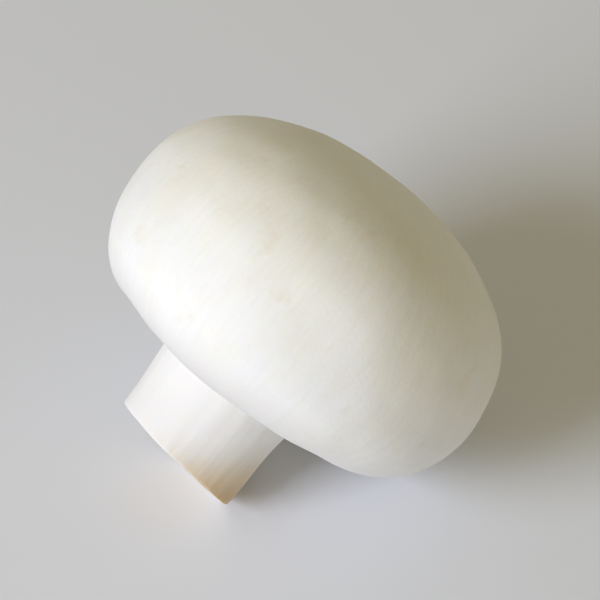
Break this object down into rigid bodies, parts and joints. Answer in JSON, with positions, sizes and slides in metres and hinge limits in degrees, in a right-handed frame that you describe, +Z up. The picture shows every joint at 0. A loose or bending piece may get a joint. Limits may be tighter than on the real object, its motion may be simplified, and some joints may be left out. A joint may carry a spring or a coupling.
{
  "type": "button mushroom",
  "caption": "Closed-cup button mushroom with a smooth white cap, rolled margin, closed veil and short knife-cut stem, lying on its side.",
  "frame": {"origin": "on the surface the mushroom lies on, under the middle of its bounding box", "axes": "+X along the surface from the cut end of the stem towards the cap, +Y across the cap's widest diameter, +Z up"},
  "size_m": [0.0446, 0.0496, 0.0446],
  "materials": {
    "cap_skin": "matte",
    "stem_flesh": "matte"
  },
  "bodies": {
    "root": {"cap": "cap_skin", "stem": "stem_flesh"}
  },
  "joints": []
}
